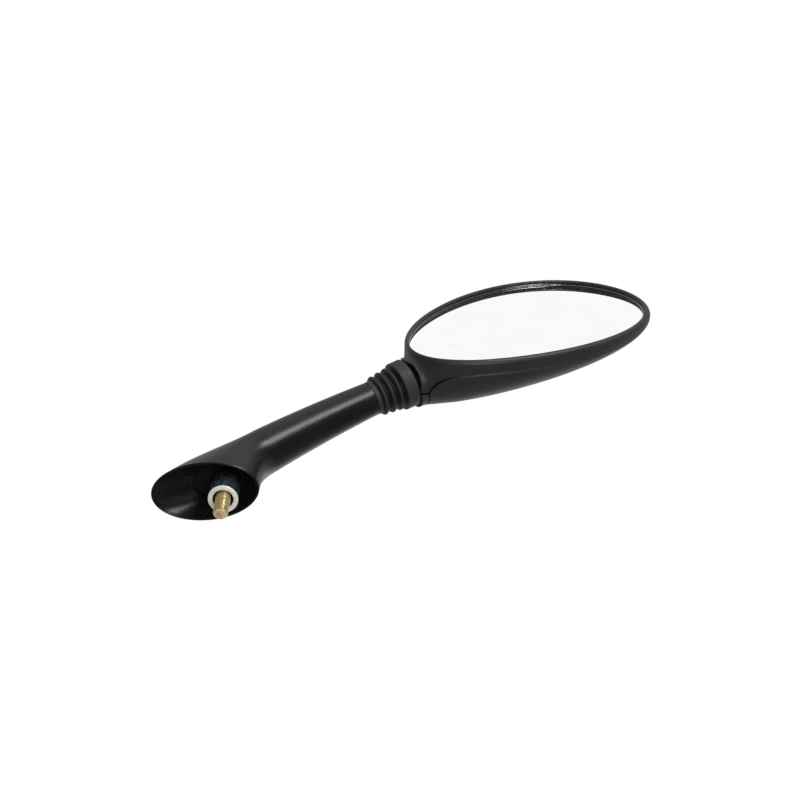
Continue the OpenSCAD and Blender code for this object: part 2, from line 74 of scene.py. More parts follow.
def bezier(p, t):
    return (p[0] * (1 - t) ** 3 + 3 * p[1] * t * (1 - t) ** 2
            + 3 * p[2] * t * t * (1 - t) + p[3] * t ** 3)


def arcStep(radius, a0, a1):
    return radius * np.array([sinD(a0) - sinD(a1), cosD(a1) - cosD(a0)])


# the arm's line and the neck, as the CAD has them

lineShape = {"yaw": 14, "footSlope": 62, "midSlope": 37, "neckSlope": 28, "elbowR": 110, "bowR": 453,
             "footBack": 10.6, "rimZ": 11, "neckStart": 25.65}

footPoint = np.array([-lineShape["footBack"], lineShape["rimZ"]])
elbowEnd = footPoint + arcStep(lineShape["elbowR"], lineShape["footSlope"], lineShape["midSlope"])
armEnd = elbowEnd + arcStep(lineShape["bowR"], lineShape["midSlope"], lineShape["neckSlope"])


def fromArmPlane(rho, side, z):
    yaw = lineShape["yaw"]
    return np.array([rho * cosD(yaw) + side * sinD(yaw), side * cosD(yaw) - rho * sinD(yaw), z])


neckDir = fromArmPlane(cosD(lineShape["neckSlope"]), 0, sinD(lineShape["neckSlope"]))
neckBack = fromArmPlane(0, 1, 0)
neckUp = np.cross(neckDir, neckBack)
armEndPoint = fromArmPlane(armEnd[0], 0, armEnd[1])


def onNeck(radial, along, angle):
    side = neckBack * cosD(angle) + neckUp * sinD(angle)
    return armEndPoint + neckDir * along + side * radial


neckMatrix = Matrix(((neckBack[0], neckUp[0], neckDir[0], armEndPoint[0] * mm),
                     (neckBack[1], neckUp[1], neckDir[1], armEndPoint[1] * mm),
                     (neckBack[2], neckUp[2], neckDir[2], armEndPoint[2] * mm),
                     (0, 0, 0, 1)))


# meshes from rings and rows of points in millimetres

def linked(name, mesh):
    obj = bpy.data.objects.new(name, mesh)
    bpy.context.scene.collection.objects.link(obj)
    return obj


def cleaned(mesh, near, thin=None):
    work = bmesh.new()
    work.from_mesh(mesh)
    bmesh.ops.remove_doubles(work, verts=work.verts, dist=near)
    if thin:
        bmesh.ops.dissolve_degenerate(work, edges=work.edges, dist=thin)
    bmesh.ops.recalc_face_normals(work, faces=work.faces)
    work.to_mesh(mesh)
    work.free()
    mesh.shade_smooth()


def newObject(name, points, faces, second=()):
    mesh = bpy.data.meshes.new(name)
    mesh.from_pydata([tuple(p) for p in np.asarray(points) * mm], [], faces)
    mesh.update()
    for i in second:  # faces that take the second material
        mesh.polygons[i].material_index = 1
    cleaned(mesh, 2e-6, 1e-7)
    return linked(name, mesh)


def ringFaces(rows, n, closed=True):
    faces = []
    for r in range(rows - 1):
        for i in range(n if closed else n - 1):
            a, b = r * n + i, r * n + (i + 1) % n
            faces.append((a, b, b + n, a + n))
    return faces


def ringObject(name, rings, caps=True):
    n = len(rings[0])
    points = [p for ring in rings for p in ring]
    faces = ringFaces(len(rings), n)
    if caps:
        last = (len(rings) - 1) * n
        faces.append(tuple(range(n - 1, -1, -1)))
        faces.append(tuple(last + i for i in range(n)))
    return newObject(name, points, faces)


def wallFaces(rows, n, inner):
    outer = ringFaces(rows, n, closed=False)
    return outer + [tuple(reversed([v + inner for v in f])) for f in outer]


def turned(profile, place, steps):
    return [[place(r, z, 360 * i / steps) for i in range(steps)] for r, z in profile]


def onStud(radial, along, angle):
    return np.array([radial * cosD(angle), radial * sinD(angle), along])


# maths on sockets, for shaders and for geometry rules

class Socket:
    tree = None

    def __init__(self, output):
        self.output = output

    @staticmethod
    def node(kind, settings=None, inputs=None, out=0):
        made = Socket.tree.nodes.new(kind)
        for key, value in (settings or {}).items():
            setattr(made, key, value)
        for key, value in (inputs or {}).items():
            if isinstance(value, Socket):
                Socket.tree.links.new(value.output, made.inputs[key])
            else:
                made.inputs[key].default_value = value
        return Socket(made.outputs[out])

    def maths(self, operation, other=None, swapped=False):
        pair = [self, other] if not swapped else [other, self]
        inputs = {i: v for i, v in enumerate(pair) if v is not None}
        return Socket.node("ShaderNodeMath", {"operation": operation}, inputs)

    def __add__(self, other):
        return self.maths("ADD", other)

    def __sub__(self, other):
        return self.maths("SUBTRACT", other)

    def __rsub__(self, other):
        return self.maths("SUBTRACT", other, True)

    def __mul__(self, other):
        return self.maths("MULTIPLY", other)

    def __truediv__(self, other):
        return self.maths("DIVIDE", other)

    def __gt__(self, other):
        return self.maths("GREATER_THAN", other)

    def __lt__(self, other):
        return self.maths("LESS_THAN", other)

    def larger(self, other):
        return self.maths("MAXIMUM", other)

    def smaller(self, other):
        return self.maths("MINIMUM", other)

    def between(self, low, high):
        return Socket.node("ShaderNodeMapRange", {"interpolation_type": "SMOOTHSTEP", "clamp": True},
                           {"Value": self, "From Min": low, "From Max": high})

    def blend(self, first, second):
        return Socket.node("ShaderNodeMix", {"data_type": "RGBA"},
                           {"Factor": self, 6: first, 7: second}, out=2)

    def xyz(self):
        split = Socket.node("ShaderNodeSeparateXYZ", inputs={0: self})
        return [Socket(o) for o in split.output.node.outputs]


def vectorMath(operation, first, second=None, out=0):
    inputs = {0: first} if second is None else {0: first, 1: second}
    return Socket.node("ShaderNodeVectorMath", {"operation": operation}, inputs, out)


def grey(value, tint=(1.0, 1.0, 1.0)):
    return (value * tint[0], value * tint[1], value * tint[2], 1.0)


def newMaterial(name, build, **fixed):
    material = bpy.data.materials.new(name)
    material.use_nodes = True
    nodes = material.node_tree
    nodes.nodes.clear()
    Socket.tree = nodes
    shader = nodes.nodes.new("ShaderNodeBsdfPrincipled")
    output = nodes.nodes.new("ShaderNodeOutputMaterial")
    nodes.links.new(shader.outputs[0], output.inputs[0])
    for key, value in fixed.items():
        shader.inputs[key.replace("_", " ")].default_value = value
    place = Socket.node("ShaderNodeTexCoord", out=3)  # Object coordinates
    for key, value in build(place).items():
        if isinstance(value, Socket):
            nodes.links.new(value.output, shader.inputs[key])
        else:
            shader.inputs[key].default_value = value
    return material


def noise(place, scale, detail=4.0, rough=0.55):
    return Socket.node("ShaderNodeTexNoise", inputs={"Vector": place, "Scale": scale, "Detail": detail,
                                                     "Roughness": rough})


def cellsOf(place, scale):
    return Socket.node("ShaderNodeTexVoronoi", {"feature": "F1"}, {"Vector": place, "Scale": scale})


def bump(height, strength, distance):
    return Socket.node("ShaderNodeBump", inputs={"Height": height, "Strength": strength,
                                                 "Distance": distance})


def mouldedPlastic(name, colour, grain, rough, spread):
    def build(place):
        fine = noise(place, grain["scale"], 3.0)
        broad = noise(place, 38.0, 3.0)
        skin = fine * 0.7 + cellsOf(place, grain["pits"]) * 0.3
        dark, pale = grey(colour * 0.9, (0.9, 1.0, 0.92)), grey(colour * 1.12, (0.93, 1.0, 0.91))
        return {"Base Color": broad.between(0.3, 0.7).blend(dark, pale),
                "Roughness": fine.between(0.35, 0.7) * spread + broad * 0.06 + (rough - spread * 0.5 - 0.03),
                "Normal": bump(skin, grain["strength"], grain["depth"])}
    return newMaterial(name, build)


commonGrain = {"scale": 2600.0, "pits": 1500.0, "strength": 0.2, "depth": 0.00006}
armGrain = dict(commonGrain, depth=0.00005)
headGrain = {"scale": 3000.0, "pits": 1700.0, "strength": 0.25, "depth": 0.00006}
armPlastic = mouldedPlastic("armPlastic", 0.005, armGrain, 0.3, 0.07)
headPlastic = mouldedPlastic("headPlastic", 0.019, headGrain, 0.44, 0.07)
# seamShade is painted shade: a near-black matte put on the faces inside the seam's gap and on the neck clip's edges
seamShade = mouldedPlastic("seamShade", 0.0025, commonGrain, 0.85, 0.08)
holderPlastic = mouldedPlastic("holderPlastic", 0.02, commonGrain, 0.5, 0.08)


# the bellows' measures in metres: its rubber and its shape both read them

bellowsShape = {"First": 0.00465, "Pitch": 0.0047, "Cuff": 0.0099, "CuffEnd": 0.0026,
                "Crest": 0.0118, "CrestGrow": 0.115, "Groove": 0.0098, "GrooveGrow": 0.12, "Sharp": 0.9,
                "Band": 0.0142, "BandRoot": 0.0018, "BandStart": 0.01705, "BandEnd": 0.02475, "Round": 0.0006}


def bellowsRubber(place):  # painted shade darkens the grooves; crests and cuff stay paler, flecked by dust
    dust = noise(place, 220.0, 5.0)
    fine = noise(place, 4200.0, 3.0)
    out = vectorMath("SUBTRACT", place, tuple(Vector(armEndPoint * mm)))
    rise = vectorMath("DOT_PRODUCT", out, tuple(neckDir), 1)
    away = vectorMath("LENGTH", vectorMath("CROSS_PRODUCT", out, tuple(neckDir)), out=1)
    crest = (rise - bellowsShape["First"]) * bellowsShape["CrestGrow"] + bellowsShape["Crest"]
    # painted shade: away from the crests' radius the grooves take the dark colour, crests and cuff the pale one; dust
    # varies it
    dustAndGrooveShade = ((crest - away) * 1000.0).between(1.0, 0.05).larger(rise < bellowsShape["CuffEnd"])
    dustAndGrooveShade = dustAndGrooveShade * (dust * 0.5 + 0.6)
    return {"Base Color": dustAndGrooveShade.blend(grey(0.0035), grey(0.026, (0.93, 1.0, 0.92))),
            "Roughness": dust * 0.16 + 0.46, "Normal": bump(fine, 0.25, 0.00005)}


def glossyBead(place):
    waves = noise(place, 160.0, 2.0)
    return {"Base Color": grey(0.005), "Roughness": waves * 0.08 + 0.08, "Normal": bump(waves, 0.2, 0.0002)}


footMarks = {"faceTop": 0.0006, "recessR": 0.0056, "tipZ": -0.01585}  # where the foot's colours change, in metres


def zincSleeve(place):
    x, y, z = place.xyz()
    away = (x * x + y * y).maths("SQRT")
    face = z < footMarks["faceTop"]
    inside = away < footMarks["recessR"]
    stain = noise(place, 600.0, 5.0)
    side = stain.between(0.42, 0.72).blend(grey(0.03, (0.72, 0.9, 1.1)), grey(0.22, (0.8, 0.95, 1.05)))
    bore = stain.between(0.3, 0.7).blend(grey(0.2, (1.0, 0.72, 0.5)), grey(0.42, (1.0, 0.8, 0.6)))
    bright = stain.between(0.3, 0.8).blend(grey(0.95), grey(0.8, (1.0, 1.0, 0.98)))
    rings = (away * 9000.0).maths("SINE") * 0.5 + 0.5  # turning marks
    return {"Base Color": inside.blend(face.blend(side, bright), bore),
            "Metallic": face * -0.55 + 0.8, "Roughness": stain * 0.25 + 0.25,
            "Normal": bump(rings * face + stain * 0.4, 0.15, 0.00005)}


def yellowStud(place):
    z = place.xyz()[2]
    stain = noise(place, 420.0, 5.0)
    tip = z < footMarks["tipZ"]
    shade = stain.between(0.3, 0.75).blend(grey(0.85, (1.0, 0.8, 0.3)), grey(0.95, (1.0, 0.92, 0.5)))
    copper = stain.between(0.3, 0.7).blend(grey(0.8, (1.0, 0.62, 0.45)), grey(0.95, (1.0, 0.78, 0.62)))
    return {"Base Color": tip.blend(shade, copper), "Metallic": tip * -0.45 + 0.8, "Roughness": stain * 0.2 + 0.12,
            "Normal": bump(stain, 0.12, 0.00006)}


def plainSteel(place):
    lines = noise(place, 900.0, 4.0)
    return {"Base Color": lines.between(0.3, 0.7).blend(grey(0.5), grey(0.62)), "Metallic": 1.0,
            "Roughness": lines * 0.2 + 0.2, "Normal": bump(lines, 0.1, 0.00005)}


def castAlloy(place):
    cast = noise(place, 700.0, 5.0)
    return {"Base Color": cast.between(0.3, 0.7).blend(grey(0.42), grey(0.56)), "Metallic": 0.9,
            "Roughness": cast * 0.25 + 0.4, "Normal": bump(cast, 0.3, 0.0001)}


def mouldedNylon(place):
    cloud = noise(place, 300.0, 4.0)
    tone = cloud.between(0.3, 0.7).blend(grey(0.72, (1.0, 0.98, 0.92)), grey(0.8, (1.0, 0.98, 0.93)))
    return {"Base Color": tone, "Roughness": cloud * 0.15 + 0.35, "Normal": bump(cloud, 0.1, 0.00005)}


def foamPad(place):
    cells = cellsOf(place, 1800.0)
    return {"Base Color": cells.between(0.0, 0.6).blend(grey(0.03), grey(0.08)), "Roughness": 0.9,
            "Normal": bump(cells, 0.6, 0.0003)}


def mirrorGlass(place):  # smooth enough to count as singular, so it mirrors the white background
    haze = noise(place, 60.0, 3.0)
    tone = haze.between(0.2, 0.8).blend(grey(0.93, (0.985, 1.0, 1.0)), grey(0.97, (0.99, 1.0, 1.0)))
    return {"Base Color": tone, "Metallic": 1.0, "Roughness": haze * 0.002 + 0.001}


rubber = newMaterial("rubber", bellowsRubber)
bead = newMaterial("bead", glossyBead, Specular_IOR_Level=1.0)
sleeveZinc = newMaterial("sleeveZinc", zincSleeve)
studYellow = newMaterial("studYellow", yellowStud)
brightSteel = newMaterial("brightSteel", plainSteel)
alloy = newMaterial("alloy", castAlloy)
nylon = newMaterial("nylon", mouldedNylon)
foam = newMaterial("foam", foamPad)
mirror = newMaterial("mirror", mirrorGlass)
print("materials made")


def dress(obj, *materials):
    if obj.data.materials:
        obj.data.materials.clear()
    for material in materials:
        obj.data.materials.append(material)


for node, material in {"core_rod": brightSteel, "end_bush": nylon, "ball_stud": brightSteel, "lower_cup": nylon,
                       "upper_cup": nylon, "socket_body": alloy, "disc_springs": brightSteel,
                       "socket_ring": brightSteel, "glass_pad": foam, "glass_holder": holderPlastic}.items():
    dress(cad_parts[node], material)


# arm cover: bow, elbow, skirt, rolled rim, hollow, floor and collar in one skin

armShape = {"lowD": 25.9, "endD": 19.7, "bowSide": 0.45, "shoulder": 0.3, "bowRings": 46,
            "skirtLen": 58.8, "skirtWid": 35.2, "turn": 8, "side": 1.4, "lip": 1.3, "skirtRings": 60,
            "backRise": 58, "backLow": 24, "backHigh": 22, "frontRise": 86, "frontPull": 9,
            "floorZ": 25, "floorLen": 28, "floorWid": 20.4, "floorBack": 4.5, "fillet": 1.2, "hollowRings": 24,
            "hollowLow": 0.4, "collarR": 9.8, "collarH": 2.5, "collarRound": 0.25, "sleeveR": 8.15,
            "spigotR": 8.2, "spigotH": 3.2, "spigotBore": 6.0, "steps": 144}


def upFrom(slope):
    return np.array([-sinD(slope), cosD(slope)])


def along(slope):
    return np.array([cosD(slope), sinD(slope)])


def oval(a, b, halfWid, turn=0.0, shift=0.0, drop=0.0):
    middle, r = (a + b) / 2, (b - a) / 2
    ring = []
    for i in range(armShape["steps"]):
        t = 360 * i / armShape["steps"]
        x, y = r[0] * cosD(t), halfWid * sinD(t)
        ring.append(fromArmPlane(middle[0] + x * cosD(turn) - y * sinD(turn),
                                 y * cosD(turn) + x * sinD(turn) - shift, middle[1] + r[1] * cosD(t) + drop))
    return ring


def armRings():
    s = armShape
    rimA = np.array([-lineShape["footBack"] - s["skirtLen"] / 2, lineShape["rimZ"]])
    rimB = np.array([-lineShape["footBack"] + s["skirtLen"] / 2, lineShape["rimZ"]])
    mid, end = lineShape["midSlope"], lineShape["neckSlope"]
    elbowA = elbowEnd + upFrom(mid) * s["lowD"] / 2
    elbowB = elbowEnd - upFrom(mid) * s["lowD"] / 2
    railA = [rimA, rimA + s["backLow"] * along(s["backRise"]), elbowA - s["backHigh"] * along(mid), elbowA]
    railB = [rimB, rimB + s["frontPull"] * along(s["frontRise"]), elbowB - s["frontPull"] * along(mid), elbowB]
    rings = []

    def bow(t, grow=0.0, back=0.0):
        slope = mix(end, mid, t)
        c = elbowEnd + arcStep(lineShape["bowR"], mid, slope) - along(slope) * back
        r = mix(s["endD"], s["lowD"], t) / 2 + grow
        return oval(c + upFrom(slope) * r, c - upFrom(slope) * r, r, shift=s["bowSide"] * t)

    spigot = ((s["spigotBore"], s["spigotH"]), (s["spigotR"] - s["shoulder"], s["spigotH"]),
              (s["spigotR"], s["spigotH"] - s["shoulder"]), (s["spigotR"], 0.0))
    for r, out in spigot:
        c = armEnd + along(end) * out
        rings.append(oval(c + upFrom(end) * r, c - upFrom(end) * r, r))
    for a in (90, 60, 30, 0):  # rounded shoulder at the arm's end
        rings.append(bow(0, grow=-s["shoulder"] * (1 - cosD(a)), back=s["shoulder"] * (1 - sinD(a))))
    rings += [bow(i / s["bowRings"]) for i in range(1, s["bowRings"] + 1)]

    def skirt(t):
        a, b = bezier(railA, 1 - t), bezier(railB, 1 - t)
        half = mix(s["lowD"], s["skirtWid"], ease(t) * 0.4 + t * t * 0.6) / 2
        return oval(a, b, half, s["turn"] * t, mix(s["bowSide"], s["side"], ease(t)))

    rings += [skirt(i / s["skirtRings"]) for i in range(1, s["skirtRings"])]
    half = s["lip"] / 2
    for a in range(0, 166, 15):  # rolled rim
        inset = half * (1 - cosD(a))
        rings.append(oval(np.array([rimA[0] + inset, rimA[1]]), np.array([rimB[0] - inset, rimB[1]]),
                          s["skirtWid"] / 2 - inset, s["turn"], s["side"], drop=half * (0.9 - sinD(a))))

    def hollow(t, z, shrink=0.0):
        length = mix(s["skirtLen"] / 2 - s["lip"], s["floorLen"] / 2, t) - shrink
        wid = mix(s["skirtWid"] / 2 - s["lip"], s["floorWid"] / 2, t ** 0.9) - shrink
        m = -mix(lineShape["footBack"], s["floorBack"], t)
        return oval(np.array([m - length, z]), np.array([m + length, z]), wid, s["turn"] * (1 - t), s["side"] * (1 - t))

    for i in range(1, s["hollowRings"]):
        t = i / s["hollowRings"]
        rings.append(hollow(t, mix(lineShape["rimZ"] + s["hollowLow"], s["floorZ"] - s["fillet"], t ** 0.85)))
    for a in (0, 30, 60, 90):  # fillet to the floor
        rings.append(hollow(1.0, s["floorZ"] - s["fillet"] * (1 - sinD(a)), s["fillet"] * (1 - cosD(a))))

    low, edge = s["floorZ"] - s["collarH"], s["collarRound"]
    collar = ((s["collarR"] + 0.3, s["floorZ"]), (s["collarR"], s["floorZ"] - 0.3), (s["collarR"], low + edge),
              (s["collarR"] - 0.07, low + 0.07), (s["collarR"] - edge, low), (s["sleeveR"], low),
              (s["sleeveR"], s["floorZ"] + 2))
    for r, z in collar:
        turns = [360 * i / s["steps"] for i in range(s["steps"])]
        rings.append([fromArmPlane(r * cosD(t), r * sinD(t), z) for t in turns])
    return rings


armSkin = ringObject("armSkin", armRings())
dress(armSkin, armPlastic)
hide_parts("arm")
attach(armSkin, "arm_body")
print("arm made")


# foot sleeve with its recess, chamfers and tapped hole

sleeveShape = {"r": 8.1, "recess": 5.55, "recessDepth": 7.0, "chamfer": 0.35, "hole": 4.05, "holeDepth": 18,
               "coneTip": 19.5, "cone": 1.2, "edge": 0.45, "edgeMid": 0.12, "top": 30.0, "steps": 96}


def sleeveProfile():
    s = sleeveShape
    r, recess, cut = s["r"], s["recess"], s["chamfer"]
    return [(r, s["top"]), (r, cut), (r - cut * 0.3, cut * 0.3), (r - cut, 0),
            (recess + s["edge"], 0), (recess + s["edgeMid"], s["edgeMid"]), (recess, s["edge"]),
            (recess, s["recessDepth"] - s["cone"]), (s["hole"], s["recessDepth"]),
            (s["hole"], s["holeDepth"]), (0.05, s["coneTip"])]


sleeve = ringObject("sleeve", turned(sleeveProfile(), onStud, sleeveShape["steps"]))
dress(sleeve, sleeveZinc)
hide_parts("foot_sleeve")
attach(sleeve, "arm_body")


# geometry nodes: each tree has its shape's dictionary as named inputs

class Field(Socket):
    @staticmethod
    def start(name, inputs):
        tree = bpy.data.node_groups.new(name, "GeometryNodeTree")
        tree.interface.new_socket("Geometry", in_out="INPUT", socket_type="NodeSocketGeometry")
        tree.interface.new_socket("Geometry", in_out="OUTPUT", socket_type="NodeSocketGeometry")
        for key, value in inputs.items():
            made = tree.interface.new_socket(key, in_out="INPUT", socket_type="NodeSocketFloat")
            made.default_value = value
        Socket.tree = tree
        entry = tree.nodes.new("NodeGroupInput")
        return tree, {o.name: Socket(o) for o in entry.outputs if o.name}

    @staticmethod
    def finish(tree, geometry, material):
        real = Socket.node("GeometryNodeRealizeInstances", inputs={"Geometry": geometry})
        painted = Socket.node("GeometryNodeSetMaterial", inputs={"Geometry": real, "Material": material})
        leave = tree.nodes.new("NodeGroupOutput")
        tree.links.new(painted.output, leave.inputs[0])


def grown(name, base, tree, values, matrix=None):
    modifier = base.modifiers.new("grow", "NODES")
    modifier.node_group = tree
    ids = {item.name: item.identifier for item in tree.interface.items_tree if item.in_out == "INPUT"}
    for key, value in values.items():
        modifier[ids[key]] = value
    bpy.context.view_layer.update()
    mesh = bpy.data.meshes.new_from_object(base.evaluated_get(bpy.context.evaluated_depsgraph_get()))
    bpy.data.objects.remove(base)
    mesh.name = name
    if matrix is not None:
        mesh.transform(matrix)
    cleaned(mesh, 1e-6)
    return linked(name, mesh)


def tubeBase(name, low, high, rows, steps, ends):
    points = []
    for r in range(rows + 1):
        z = mix(low, high, r / rows)
        points += [onStud(1.0, z, 360 * i / steps) for i in range(steps)]
    faces = ringFaces(rows + 1, steps)
    if ends:
        faces += [tuple(range(steps - 1, -1, -1)), tuple(rows * steps + i for i in range(steps))]
    mesh = bpy.data.meshes.new(name)
    mesh.from_pydata([tuple(p * mm) for p in points], [], faces)
    return linked(name, mesh)


def placeOf():
    return Socket.node("GeometryNodeInputPosition").xyz()


def moveOut(geometry, radius, x, y, z):
    away = (x * x + y * y).maths("SQRT").larger(1e-6)
    put = Socket.node("ShaderNodeCombineXYZ", inputs={0: x / away * radius, 1: y / away * radius, 2: z})
    return Socket.node("GeometryNodeSetPosition", inputs={"Geometry": geometry, "Position": put})


# mounting stud: a thread cut by a rule on angle and height

studShape = {"Radius": 0.004, "Pitch": 0.00125, "Depth": 0.0006, "Flank": 2.6, "Flat": 0.15, "Low": -0.016,
             "Chamfer": 0.0011}
studGrid = {"low": -16.0, "high": 18.0, "rowsPerMm": 8, "steps": 64}


def threadTree():
    tree, given = Field.start("threadRule", studShape)
    x, y, z = placeOf()
    angle = y.maths("ARCTAN2", x) / (2 * math.pi)
    turn = (z / given["Pitch"] - angle).maths("FRACT")
    ridge = ((turn - 0.5).maths("ABSOLUTE") * given["Flank"] - given["Flat"]).larger(0.0).smaller(1.0)
    fade = (z - given["Low"]) / given["Chamfer"]
    tip = (given["Radius"] - given["Chamfer"]) + fade * given["Chamfer"]
    radius = (given["Radius"] - given["Depth"] * (1.0 - ridge)).smaller(tip)
    Field.finish(tree, moveOut(given["Geometry"], radius, x, y, z), studYellow)
    return tree


studRows = int((studGrid["high"] - studGrid["low"]) * studGrid["rowsPerMm"])
studBase = tubeBase("studBase", studGrid["low"], studGrid["high"], studRows, studGrid["steps"], True)
stud = grown("stud", studBase, threadTree(), studShape)
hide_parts("mounting_stud")
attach(stud, "arm_body")
print("foot made")


# bellows: three ribs and a band by a rule on the height, in three lengths

def bellowsTree():
    tree, given = Field.start("bellowsRule", bellowsShape)
    x, y, z = placeOf()
    rise = z - given["First"]
    swell = (rise / given["Pitch"] * (2 * math.pi)).maths("COSINE") * 0.5 + 0.5
    crest = given["Crest"] + rise * given["CrestGrow"]
    groove = given["Groove"] + rise * given["GrooveGrow"]
    ribs = groove + (crest - groove) * swell.maths("POWER", given["Sharp"])
    cuff = z < given["CuffEnd"]
    start = (1.0 - z / (given["Round"] * 0.5)).larger(0.0)
    ribs = cuff * (given["Cuff"] - given["Round"] * start * start) + (1.0 - cuff) * ribs.larger(given["Cuff"])
    into = ((z - given["BandStart"]) / given["Round"]).larger(0.0).smaller(1.0)
    outOf = ((given["BandEnd"] - z) / given["Round"]).larger(0.0).smaller(1.0)
    shoulder = 1.0 - (1.0 - into) * (1.0 - into)
    rim = 1.0 - (1.0 - outOf) * (1.0 - outOf)
    last = z > given["BandStart"]
    band = given["Groove"] + given["BandRoot"] + (given["Band"] - given["Groove"] - given["BandRoot"]) * shoulder
    radius = (last * band + (1.0 - last) * ribs) - given["Round"] * (1.0 - rim)
    Field.finish(tree, moveOut(given["Geometry"], radius, x, y, z), rubber)
    return tree


bellowsCuts = {"low": (0.1, 11.7), "middle": (11.7, 17.0), "top": (17.0, 24.75)}
bellowsGrid = {"rowsPerMm": 14, "steps": 128}
bellowsRule = bellowsTree()
for part, (low, high) in bellowsCuts.items():
    rows = int((high - low) * bellowsGrid["rowsPerMm"])
    base = tubeBase("bellows_" + part + "Base", low, high, rows, bellowsGrid["steps"], False)
    piece = grown("bellows_" + part, base, bellowsRule, bellowsShape, neckMatrix)
    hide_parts("bellows")
    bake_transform(piece)
tuckProfile = [(13.6, 24.74), (10.9, 24.74), (10.9, 27.6), (9.9, 27.6), (9.9, 24.4), (13.4, 24.4)]
innerTuck = ringObject("bellowsTuck", turned(tuckProfile, onNeck, bellowsGrid["steps"]), caps=False)
dress(innerTuck, rubber)
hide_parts("bellows")
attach(innerTuck, "head_body")
print("bellows made")


# head: sections along a line that leaves the neck and then follows the glass's long axis

headShape = {"neckD": 27, "a": 79.4, "b": 49.6, "egg": 0.16, "bow": 4.3, "slope": 34.6, "endGap": 4, "glassDrop": 1.4,
             "rimW": 3.5, "rimNeck": 2.1, "rimRound": 2.8, "rimFront": 18.1, "rimGrow": 40, "rimTurn": 58,
             "rimDeep": 1.3, "lip": 0.45, "wall": 2.2, "wallNeck": 0.55,
             "belly": 2.8, "depthRoot": 34, "depthTip": 8, "depthPower": 1.9, "backGrow": 12, "square": 2.4,
             "tipRound": 8, "tipDrop": 2.6, "turnLen": 24, "lineRoot": 14, "lineTip": 4, "lineHandle": 0.45}
seamShape = {"root": 8, "tip": 5, "power": 3, "rise": 4.5, "fall": 36, "clipLen": 4.4, "wide": 1.1, "climb": 0.9,
             "climbFrom": 3, "climbLen": 3, "fine": 0.1, "fineFrom": 5, "fineLen": 15, "fold": 0.5, "shadeTurn": 37}
hs = headShape
longDir = np.array([cosD(hs["slope"]), 0, sinD(hs["slope"])])
crossDir = np.array([-sinD(hs["slope"]), 0, cosD(hs["slope"])])
backDir = np.array([0.0, 1.0, 0.0])
neckPoint = armEndPoint + neckDir * lineShape["neckStart"]
rimY = neckPoint[1] - hs["rimFront"]
glassMid = neckPoint + longDir * (hs["a"] + hs["endGap"]) - crossDir * hs["glassDrop"]
fullLen = 2 * hs["a"] + hs["endGap"] + hs["rimW"]
lineJoin = (glassMid * np.array([1, 0, 1]) + longDir * (hs["turnLen"] - hs["a"] - hs["endGap"])
            + backDir * (rimY + hs["lineRoot"]))


def eggR(a, g):
    return math.sqrt(max(0.0, 1 - (a / (hs["a"] + g)) ** 2))


def eggHalf(a, g):
    return (hs["b"] + g) * (1 + hs["egg"] * a / hs["a"]) * eggR(a, g)


def eggPoint(turn, g, y):
    a = (hs["a"] + g) * cosD(turn)
    b = hs["bow"] * eggR(a, g) ** 2 + (1 if sinD(turn) >= 0 else -1) * eggHalf(a, g)
    p = glassMid + longDir * a + crossDir * b
    return np.array([p[0], y, p[2]])


def lineAt(s):
    if s < hs["turnLen"]:
        t = s / hs["turnLen"]
        m = neckPoint + neckDir * hs["turnLen"] * hs["lineHandle"]
        return neckPoint * (1 - t) ** 2 + m * 2 * t * (1 - t) + lineJoin * t * t
    share = (s - hs["turnLen"]) / (2 * hs["a"] + hs["endGap"] - hs["turnLen"])
    y = rimY + mix(hs["lineRoot"], hs["lineTip"], share)
    return np.array([glassMid[0], y, glassMid[2]]) + longDir * (s - hs["a"] - hs["endGap"])


def backY(s):
    x = min(max((s - fullLen) / hs["tipRound"] + 1, 0), 1)
    depth = mix(hs["depthRoot"], hs["depthTip"], (s / fullLen) ** hs["depthPower"])
    return rimY + depth - hs["tipDrop"] * (1 - math.sqrt(1 - x * x))


def seamY(s):
    fall = (1 - min(max((s - seamShape["clipLen"]) / seamShape["fall"], 0), 1)) ** 4
    level = mix(seamShape["root"], seamShape["tip"], (s / fullLen) ** seamShape["power"])
    return rimY + level + (hs["rimFront"] + seamShape["rise"] - seamShape["root"]) * fall


def seamGap(s):
    q = seamShape
    return mix(q["wide"] + q["climb"] * ease((s - q["climbFrom"]) / q["climbLen"]), q["fine"],
               ease((s - q["fineFrom"]) / q["fineLen"]))


def breadths(s, inset):
    a = s - hs["a"] - hs["endGap"]
    g = mix(hs["rimNeck"], hs["rimW"], ease(s / hs["rimGrow"])) - inset
    half, bow = eggHalf(a, g), hs["bow"] * eggR(a, g) ** 2
    return half + bow, half - bow


def body(s, inset):
    if s >= hs["turnLen"]:
        return breadths(s, inset)
    t, w0 = s / hs["turnLen"], hs["neckD"] / 2 - inset
    pairs = zip(breadths(hs["turnLen"], inset), breadths(hs["turnLen"] + 1, inset))
    return tuple(w0 * (1 - t) ** 2 * (1 + 2 * t) + w1 * t * t * (3 - 2 * t)
                 + (w2 - w1) * hs["turnLen"] * (t - 1) * t * t for w1, w2 in pairs)


